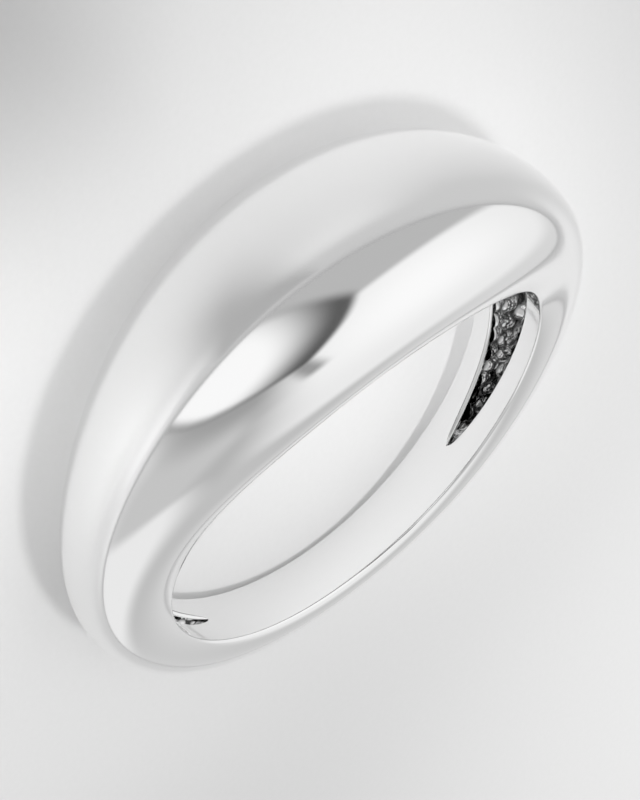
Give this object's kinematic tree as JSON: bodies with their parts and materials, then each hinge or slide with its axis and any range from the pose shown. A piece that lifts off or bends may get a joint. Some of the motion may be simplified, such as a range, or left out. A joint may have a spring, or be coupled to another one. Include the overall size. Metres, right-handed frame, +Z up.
{
  "type": "dome ring",
  "caption": "One-piece polished finger ring whose slim round shank swells into a high smooth dome, hollowed from inside the bore by a long pointed recess with a pebbled floor.",
  "frame": {"origin": "centre of the bounding box on the surface that the ring lies on", "axes": "+Z up from that surface, +X from the back of the shank towards the dome's crown, +Y across the bore; the XZ plane is the ring's plane of symmetry"},
  "size_m": [0.0226, 0.0232, 0.0082],
  "materials": {
    "polished_silver": "rhodium-plated sterling silver, mirror polished outside and in the bore, left as cast and only tumbled in the dome's recess"
  },
  "bodies": {
    "root": {"dome_band": "polished_silver"}
  },
  "joints": []
}
